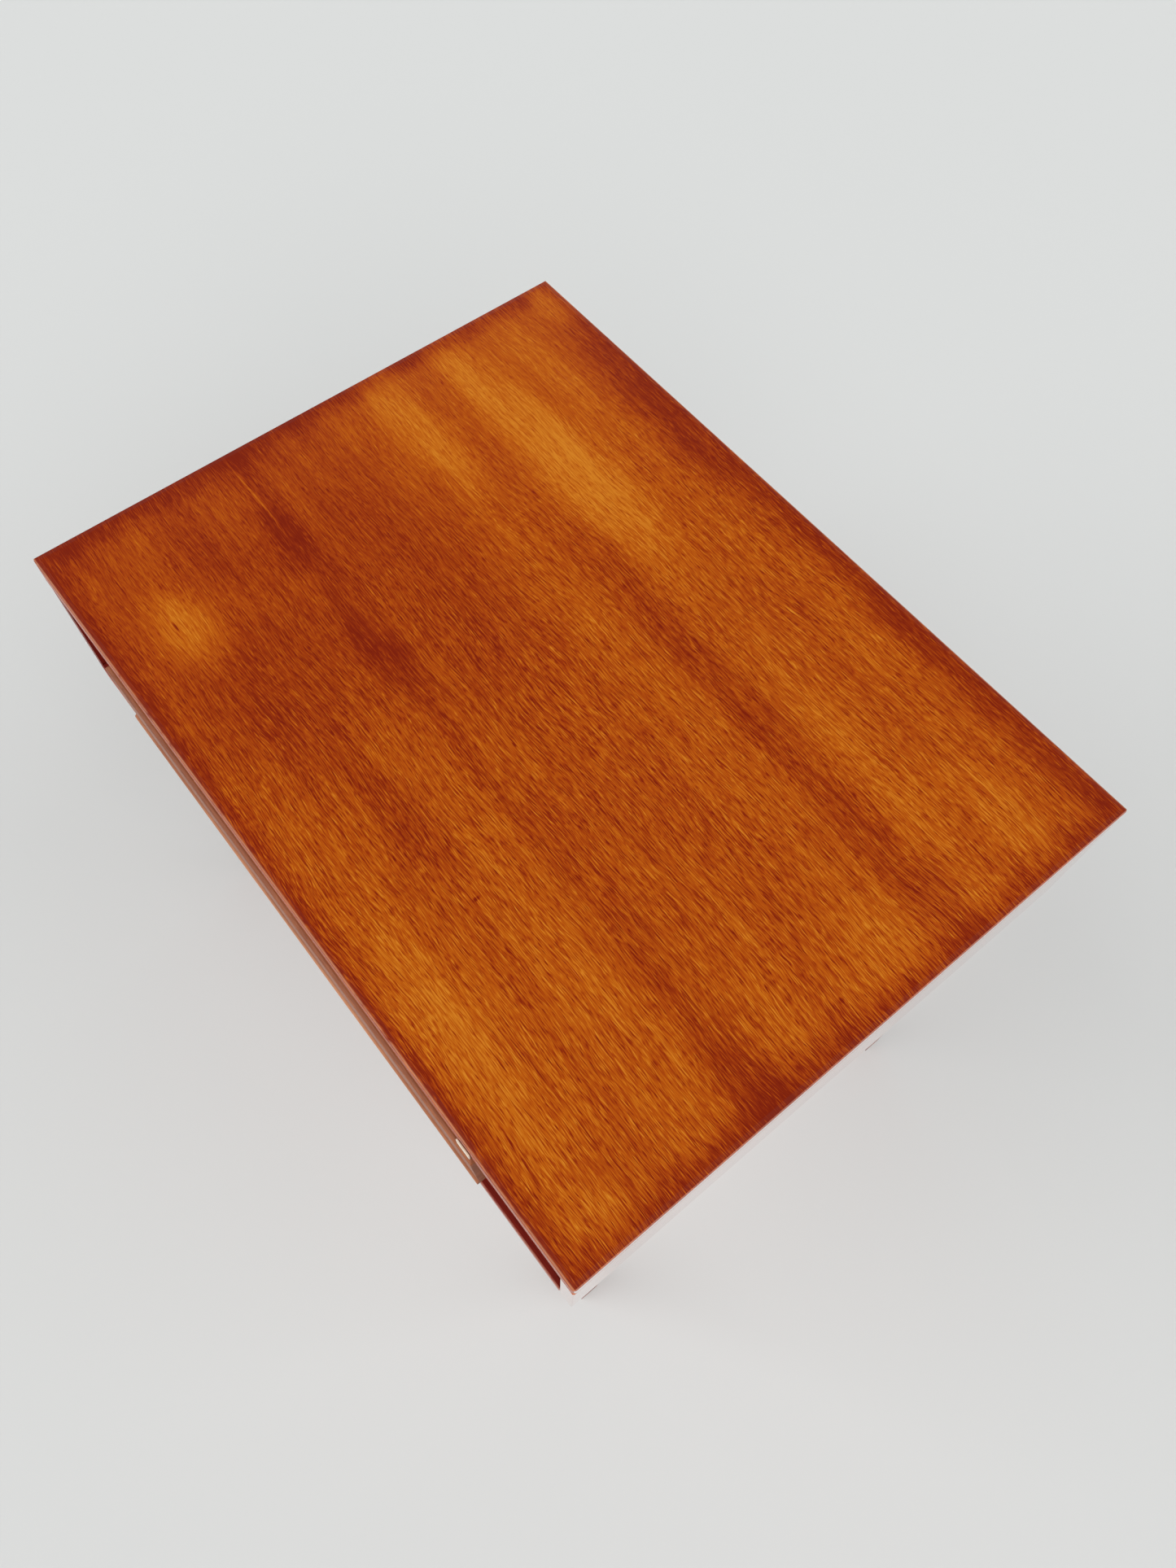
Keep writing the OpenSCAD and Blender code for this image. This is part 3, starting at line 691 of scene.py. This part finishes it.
def plywood(node, axis):
    """Birch plywood for one sheet that lies flat, with its face grain along the axis that is named."""
    material, tree, shader = new_material(f"plywood.{node}", roughness=0.55, specular=0.3)
    here = own_place(tree)
    grain = along_grain(tree, here, axis)
    low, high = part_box(node)
    waves = calc_vector(tree, "ADD", grain, vector_of(
        tree, 0.0, swing(tree, stretched(tree, grain, (6, 12, 12)), 0.09), 0.0))
    leaf = place(tree, wood_streaks, {"Vector": waves, "Length": 0.16, "Height": 0.011})["Streak"]
    fibres = place(tree, wood_streaks, {"Vector": grain, "Length": 0.016, "Height": 0.0008})["Streak"]
    tone = total(tree, 0.55, times(tree, leaf, 0.9), times(tree, fibres, 0.45))
    face = ramp(tree, tone, PLY_TONES)
    height = calc(tree, "DIVIDE", calc(tree, "SUBTRACT", parts_of(tree, here)[2], low.z), high.z - low.z)
    layer = calc(tree, "PINGPONG", times(tree, height, float(PLY_LAYERS)), 1.0)
    cross = ease(tree, layer, 0.42, 0.58)
    upward = parts_of(tree, add(tree, "NewGeometry").outputs["Normal"])[2]
    on_edge = calc(tree, "LESS_THAN", calc(tree, "ABSOLUTE", upward), 0.5)
    dark = times(tree, times(tree, cross, on_edge), 0.75)
    fill(tree, shader.inputs["Base Color"], blend_colour(tree, dark, face, END_GRAIN))
    fill(tree, shader.inputs["Roughness"], total(tree, 0.52, times(tree, fibres, 0.3)))
    fill(tree, shader.inputs["Normal"], relief(tree, fibres, FIBRE_DEPTH))
    return material


print("plywood:", PLY_LAYERS, "layers")

# %% [markdown]
# ## Metals and nylon
# The fittings are small, but a flat grey gives them away at once. Zinc plating is slightly
# blotchy with a cool tint, brass dulls to brown in patches, and white nylon yellows and
# scuffs. Each needs little more than the marks group and one slow noise.

# %% Metals and nylon
GRIT_DEPTH = 0.00002


def plated(name, clean, dull, roughness):
    """A bare or plated metal, bright in places and dull in others."""
    material, tree, shader = new_material(name, roughness=roughness, specular=0.5, metallic=1.0)
    here = own_place(tree)
    use = place(tree, marks, {"Vector": here, "Density": 1.0})
    blotch = ease(tree, noise(tree, stretched(tree, here, (210, 210, 210)), 4.0), 0.4, 0.7)
    fill(tree, shader.inputs["Base Color"], blend_colour(tree, blotch, clean, dull))
    fill(tree, shader.inputs["Roughness"],
         total(tree, roughness, times(tree, blotch, 0.18), times(tree, use["Smears"], 0.08)))
    return material


def white_nylon():
    """Moulded nylon, a little yellowed, with fine scuffs."""
    material, tree, shader = new_material("nylon", roughness=0.42, specular=0.5)
    here = own_place(tree)
    use = place(tree, marks, {"Vector": here, "Density": 1.0})
    aged = ease(tree, noise(tree, stretched(tree, here, (160, 160, 160)), 3.0), 0.35, 0.75)
    fill(tree, shader.inputs["Base Color"],
         blend_colour(tree, aged, colour(236, 228, 214), colour(222, 205, 178)))
    fill(tree, shader.inputs["Roughness"],
         total(tree, 0.36, times(tree, aged, 0.14), times(tree, use["Scratches"], 0.2)))
    grit = noise(tree, stretched(tree, here, (2600, 2600, 2600)), 2.0)
    fill(tree, shader.inputs["Normal"], relief(tree, grit, GRIT_DEPTH))
    return material


zinc = plated("zinc_plate", colour(196, 199, 204), colour(150, 152, 156), 0.28)
brass = plated("brass", colour(214, 176, 98), colour(150, 112, 60), 0.26)
nylon = white_nylon()
print("fittings:", [material.name for material in (zinc, brass, nylon)])

# %% [markdown]
# ## Giving each piece its finish
# A material goes onto a piece of the frame by filling the piece's own material slots. The
# grain follows how each board was cut: always along its length, and down the sides of the
# case, where the veneer carries on from the top.

# %% Finishes of the frame's pieces
def finish(node, material):
    """Puts one material on a piece of the frame."""
    slots = nodes[node].material_slots
    for slot in slots:
        slot.material = material
    if not slots:
        nodes[node].data.materials.append(material)


finish("top_board", top_material)
for side in ("front", "back", "left", "right"):
    name = f"top_lipping_{side}"
    axis = "x" if side in ("front", "back") else "y"
    gloss = {"roughness": 0.34} if side == "front" else {"roughness": 0.18, "coat": 1.0}
    finish(name, stained_wood("edge_lipping", name, axis, CASE_STAIN, edge_wear_and_highlight=0.6, veneered=True, **gloss))

for side, way in (("left", (1, 0, 0)), ("right", (-1, 0, 0))):
    name = f"side_panel_{side}"
    finish(name, stained_wood("case_veneer", name, "z", CASE_STAIN, 0.18, coat=1.0, inside=way))
finish("bottom_board", stained_wood("case_veneer", "bottom_board", "x", CASE_STAIN, 0.34, inside=(0, 0, 1)))
# The back panel is painted darker, as painted shade inside the case
finish("back_panel", stained_wood("inner_veneer", "back_panel", "x", SHADED_BACK_STAIN, 0.35))

# Fingers pull the drawer by the lip along its foot; the pale band painted along it is partly their wear and
# partly a painted highlight on the lip's edge
front_low, front_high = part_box("drawer_front")
lip_middle = Vector(((front_low.x + front_high.x) / 2, front_low.y, front_low.z + 5 * MM))
finish("drawer_front", stained_wood("drawer_veneer", "drawer_front", "x", DRAWER_STAIN, 0.45, edge_wear_and_highlight=0.4,
                                    rubbed_and_lit_place=(lip_middle, Vector((300, 3, 5.5)) * MM)))

for end in ("front", "back"):
    for side in ("left", "right"):
        name = f"leg_{end}_{side}"
        finish(name, stained_wood("leg_wood", name, "z", LEG_STAIN, 0.3, edge_wear_and_highlight=0.4, edge_band_width=0.0014))

BEECH_GRAIN = {
    "x": ("drawer_back", "tray_ledge_front", "tray_ledge_back",
          "drawer_divider_long", "reel_peg_board", "tray_wall_front", "tray_wall_back",
          "tray_dividers_short"),
    "y": ("drawer_runner_left", "drawer_runner_right", "drawer_stop_blocks", "drawer_side_left",
          "drawer_side_right", "drawer_divider_left", "drawer_divider_right",
          "tray_wall_left", "tray_wall_right", "tray_divider_long"),
}
for axis, names in BEECH_GRAIN.items():
    for name in names:
        finish(name, beech(name, axis))
finish("drawer_bottom", plywood("drawer_bottom", "x"))
finish("tray_base", plywood("tray_base", "y"))

finish("leg_threaded_inserts", brass)
print("boards with a grain of their own:", len(boards_made))

# %% [markdown]
# ## Round parts: where they are
# Pegs, dowels, screws and bolts come in the frame as plain rods of the right size, several to
# a piece. Their places are not typed in again: each frame piece is taken apart into its
# separate solids, and every solid's box says where one part goes, which way and how thick.

# %% Solids in a piece of the frame
def solids_of(node):
    """The lowest and highest corner of each separate solid in a piece, in a fixed order."""
    shape = bmesh.new()
    shape.from_mesh(nodes[node].data)
    bmesh.ops.remove_doubles(shape, verts=shape.verts, dist=0.001 * MM)
    boxes, seen = [], set()
    for first in shape.verts:
        if first in seen:
            continue
        solid, waiting = [], [first]
        seen.add(first)
        while waiting:
            vertex = waiting.pop()
            solid.append(vertex.co.copy())
            for edge in vertex.link_edges:
                other = edge.other_vert(vertex)
                if other not in seen:
                    seen.add(other)
                    waiting.append(other)
        boxes.append((Vector(map(min, zip(*solid))), Vector(map(max, zip(*solid)))))
    shape.free()
    return sorted(boxes, key=lambda box: tuple(round(side, 5) for side in box[0]))


print("reel pegs found:", len(solids_of("reel_pegs")))

# %% [markdown]
# ## Round parts: how they are shaped
# A Screw modifier or a lathe profile makes a smooth rod, but not a thread or a flute. Here a
# rod is a stack of rings, and each ring's radius may change with the turn around the axis.
# That one rule gives domes, chamfers, flutes and true helical threads: along a thread, the
# radius rises and falls with the height minus the turn.

# %% Rods
RINGS_PER_TURN = 6
SHARP_EDGE = math.radians(32)
ON_FOOT = 1e-7  # a point lower than this is on a rod's flat foot


def rod(rings, columns):
    """One closed rod along Z. A ring is a height and a radius, or a radius for each turn."""
    shape = bmesh.new()
    rows = []
    for height, radius in rings:
        row = []
        for column in range(columns):
            turn = column / columns
            reach = radius(turn) if callable(radius) else radius
            row.append(shape.verts.new(
                (reach * math.cos(math.tau * turn), reach * math.sin(math.tau * turn), height)))
        rows.append(row)
    for lower, upper in zip(rows, rows[1:]):
        for column in range(columns):
            beside = (column + 1) % columns
            shape.faces.new((lower[column], lower[beside], upper[beside], upper[column]))
    shape.faces.new(rows[0][::-1])
    shape.faces.new(rows[-1])
    return shape


def thread(start, end, root, crest, pitch):
    """The rings of a threaded stretch."""
    def at(height):
        return lambda turn: root + (crest - root) * (1 - abs(2 * ((height / pitch - turn) % 1.0) - 1))

    steps = round(RINGS_PER_TURN * (end - start) / pitch)
    heights = [start + (end - start) * step / steps for step in range(steps + 1)]
    return [(height, at(height)) for height in heights]


def cross_recess(shape, half_width, half_length, depth):
    """A cross-shaped recess for a screwdriver in the flat foot of a rod."""
    cuts = (-half_length, -half_width, half_width, half_length)
    for normal in ((1, 0, 0), (0, 1, 0)):
        for cut in cuts:
            foot = [face for face in shape.faces if max(vertex.co.z for vertex in face.verts) < ON_FOOT]
            parts = {part for face in foot for part in (*face.verts, *face.edges)}
            bmesh.ops.bisect_plane(
                shape, geom=[*foot, *parts], plane_co=cut * Vector(normal), plane_no=normal)
    recess = []
    for face in shape.faces:
        centre = face.calc_center_median()
        near, far = sorted((abs(centre.x), abs(centre.y)))
        if centre.z < ON_FOOT and near < half_width and far < half_length:
            recess.append(face)
    bmesh.ops.inset_region(shape, faces=recess, thickness=0.0, depth=-depth)


def add_piece(name, shape, body, material, node=None):
    """Turns a finished shape into a piece that rides on a body, and may stand for a node."""
    bmesh.ops.recalc_face_normals(shape, faces=shape.faces)
    for face in shape.faces:
        face.smooth = True
    for edge in shape.edges:
        edge.smooth = edge.calc_face_angle(0.0) < SHARP_EDGE
    mesh = bpy.data.meshes.new(name)
    shape.to_mesh(mesh)
    shape.free()
    mesh.materials.append(material)
    piece = bpy.data.objects.new(name, mesh)
    bpy.context.scene.collection.objects.link(piece)
    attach(piece, body)
    if node:
        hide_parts(node)
    print(name, "-", len(mesh.polygons), "faces")
    return piece


def rods_in(node, rings_for, columns=24, recess=None):
    """A rod in the place of each of a node's solids, all in one shape."""
    together = bmesh.new()
    for low, high in solids_of(node):
        size = high - low
        way = max(range(3), key=lambda number: size[number])
        radius = min(size[number] for number in range(3) if number != way) / 2
        foot = (low + high) / 2
        foot[way] = low[way]
        one = rod(rings_for(size[way], radius), columns)
        if recess:
            cross_recess(one, *recess)
        along = Vector([float(number == way) for number in range(3)])
        turned = Vector((0, 0, 1)).rotation_difference(along).to_matrix().to_4x4()
        one.transform(Matrix.Translation(foot) @ turned)
        loose = bpy.data.meshes.new("loose")
        one.to_mesh(loose)
        one.free()
        together.from_mesh(loose)
        bpy.data.meshes.remove(loose)
    return together


print("a ring every", round(360 / RINGS_PER_TURN), "degrees of thread")

# %% [markdown]
# ## Reel pegs and dowels
# The pegs hold reels of thread, so their tips are rounded to let a reel slip on. Dowels are
# fluted, which lets glue and air out of the hole, and chamfered at both ends. The flutes are
# every second column of a ring, set in by a quarter of a millimetre.

# %% Pegs and dowels
DOME_STEPS = 5
FLUTED_COLUMNS = 32
FLUTE_DEPTH = 0.25 * MM


def peg_rings(length, radius):
    """A peg with a small chamfer at its foot and a domed tip."""
    dome = [math.radians(90 * step / DOME_STEPS) for step in range(DOME_STEPS)] + [math.radians(88)]
    start = [(0.0, radius - 0.3 * MM), (0.3 * MM, radius)]
    return start + [(length - radius * (1 - math.sin(a)), radius * math.cos(a)) for a in dome]


def dowel_rings(length, radius):
    """A fluted dowel with chamfered ends."""
    def fluted(turn):
        return radius - FLUTE_DEPTH * (round(turn * FLUTED_COLUMNS) % 2)

    chamfer = 0.8 * MM
    return [(0.0, radius - chamfer), (chamfer, fluted),
            (length - chamfer, fluted), (length, radius - chamfer)]


add_piece("turned_pegs", rods_in("reel_pegs", peg_rings), "drawer",
          beech("reel_pegs", "z"), "reel_pegs")
for node, body, axis in (("case_dowels_upper", "table", "z"), ("case_dowels_lower", "table", "x"),
                         ("drawer_dowels", "drawer", "y")):
    add_piece(f"fluted_{node}", rods_in(node, dowel_rings, FLUTED_COLUMNS), body,
              beech(node, axis), node)

# %% [markdown]
# ## Screws and bolts
# Six brass screws hold the runners up against the top. Each has a countersunk head with a
# cross recess, a plain shank and a wood thread that ends in a point. A hanger bolt has two
# threads: a coarse one that bites into the leg, and a fine one for the insert in the bottom
# board.

# %% Screws and bolts
SCREW_PITCH = 1.8 * MM
SCREW_RECESS = (0.35 * MM, 1.4 * MM, 0.9 * MM)  # half width, half length, depth
COARSE_PITCH = 2.8 * MM
FINE_PITCH = 1.25 * MM
FINE_LENGTH = 12 * MM


def screw_rings(length, head_radius):
    """A countersunk wood screw, head down, point up."""
    shank = head_radius / 2
    root = 0.68 * shank
    point = length - 4 * MM
    head = [(0.0, head_radius - 0.15 * MM), (0.15 * MM, head_radius - 0.05 * MM),
            (head_radius - shank, shank), (0.4 * length, shank), (0.4 * length + 0.5 * MM, root)]
    return head + thread(0.4 * length + 1 * MM, point, root, shank, SCREW_PITCH) + [
        (point + 0.5 * MM, root), (length, 0.08 * MM)]


def bolt_rings(length, radius):
    """A hanger bolt, wood thread down."""
    fine_start = length - FINE_LENGTH
    coarse = thread(4 * MM, fine_start - 4 * MM, radius - 1.0 * MM, radius, COARSE_PITCH)
    fine = thread(fine_start, length - 1 * MM, radius - 0.7 * MM, radius, FINE_PITCH)
    plain = [(fine_start - 3.5 * MM, radius - 0.3 * MM), (fine_start - 0.5 * MM, radius - 0.3 * MM)]
    return [(0.0, 0.8 * MM), (3.5 * MM, radius - 1.0 * MM)] + coarse + plain + fine + [
        (length, radius - 0.9 * MM)]


add_piece("runner_wood_screws", rods_in("runner_screws", screw_rings, 24, SCREW_RECESS), "table",
          brass, "runner_screws")
add_piece("threaded_hanger_bolts", rods_in("leg_hanger_bolts", bolt_rings), "table",
          zinc, "leg_hanger_bolts")

# %% [markdown]
# ## Glides and the drawer's buffer
# A glide is a nylon pad on a nail. Its foot is domed, so that it slides without catching, and
# the nail's head sits in a small recess. The buffer is a thin moulded block. A cube would have
# knife edges that no mould makes, so all its edges get a small bevel in three steps.

# %% Glides and buffer
GLIDE_THICK = 3 * MM
RECESS_DEPTH = 1 * MM
NAIL_RADIUS = 1.2 * MM
NAIL_HEAD = 2.2 * MM
BUFFER_ROUNDING = 0.35 * MM


def pad_rings(_, radius):
    """A nylon pad with a domed foot and a recess for the nail's head."""
    lip = NAIL_HEAD + 0.4 * MM
    return [(RECESS_DEPTH, NAIL_HEAD + 0.1 * MM), (0.15 * MM, lip), (0.0, lip + 0.3 * MM),
            (0.0, 0.62 * radius), (0.15 * MM, 0.78 * radius), (0.6 * MM, 0.91 * radius),
            (1.3 * MM, 0.985 * radius), (1.9 * MM, radius), (GLIDE_THICK, radius)]


def nail_rings(length, _):
    """The nail, head down, from the pad's recess to its point in the leg."""
    return [(0.2 * MM, 0.5 * NAIL_HEAD), (0.4 * MM, 0.85 * NAIL_HEAD), (0.65 * MM, NAIL_HEAD),
            (RECESS_DEPTH, NAIL_HEAD), (RECESS_DEPTH + 0.2 * MM, NAIL_RADIUS),
            (length - 3 * MM, NAIL_RADIUS), (length, 0.1 * MM)]


add_piece("glide_pads", rods_in("foot_glides", pad_rings, 36), "table", nylon, "foot_glides")
add_piece("glide_nails", rods_in("foot_glides", nail_rings, 16), "table", zinc)

buffer_low, buffer_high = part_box("drawer_buffer")
block = bmesh.new()
bmesh.ops.create_cube(block, size=1.0)
bmesh.ops.scale(block, vec=buffer_high - buffer_low, verts=block.verts)
bmesh.ops.translate(block, vec=(buffer_low + buffer_high) / 2, verts=block.verts)
bmesh.ops.bevel(block, geom=block.edges[:], offset=BUFFER_ROUNDING, segments=3, profile=0.5, affect="EDGES")
add_piece("moulded_buffer", block, "drawer", nylon, "drawer_buffer")

# %% [markdown]
# ## Floor and light
# The table stands on a plain pale floor in a pale room. Area lamps would leave the far floor
# dark, so three very wide suns do the work of windows: their light is the same everywhere, and
# a width of 50 degrees keeps the shadows soft. Lacquer mirrors what is above it, and a bright
# ceiling would wash out the veneer. So the suns stay out of the top's mirror direction, and
# the world is bright at the horizon and dim overhead.

# %% Floor
FLOOR_SIZE = 60.0
FLOOR_SHADE = (0.725, 0.74, 0.735, 1.0)

bpy.ops.mesh.primitive_plane_add(size=FLOOR_SIZE, location=(0, 0, cad_low.z))
floor = bpy.context.object
floor.name = "floor"
floor_material, _, floor_shader = new_material("floor", roughness=0.7, specular=0.1)
floor_shader.inputs["Base Color"].default_value = FLOOR_SHADE
floor.data.materials.append(floor_material)
print("floor:", FLOOR_SIZE, "metres wide")

# %% Light
SUN_WIDTH = math.radians(50)
SKY_STOPS = [  # height of the direction, from 0 at the horizon to 1 overhead
    (0.0, (0.94, 0.94, 0.93, 1.0)),
    (0.4, (0.86, 0.86, 0.85, 1.0)),
    (0.7, (0.14, 0.14, 0.14, 1.0)),
]


def window(name, azimuth, elevation, strength):
    """A wide sun. Azimuth 0 is the front of the table, and 90 its right side."""
    data = bpy.data.lights.new(name, "SUN")
    data.angle = SUN_WIDTH
    data.energy = strength
    lamp = bpy.data.objects.new(name, data)
    turn, lift = math.radians(azimuth), math.radians(elevation)
    towards = Vector((math.sin(turn) * math.cos(lift), -math.cos(turn) * math.cos(lift), math.sin(lift)))
    lamp.rotation_euler = (-towards).to_track_quat("-Z", "Y").to_euler()
    bpy.context.scene.collection.objects.link(lamp)


window("window_right", 62, 48, 1.25)
window("window_front", -28, 40, 0.92)
window("window_back", 122, 42, 0.66)

world = bpy.data.worlds.new("studio")
world.use_nodes = True
sky = world.node_tree
sky_height = parts_of(sky, add(sky, "TexCoord").outputs["Generated"])[2]
sky_colour = ramp(sky, sky_height, SKY_STOPS)
fill(sky, sky.nodes["Background"].inputs["Color"], sky_colour)
bpy.context.scene.world = world
bpy.context.scene.view_settings.view_transform = "Standard"
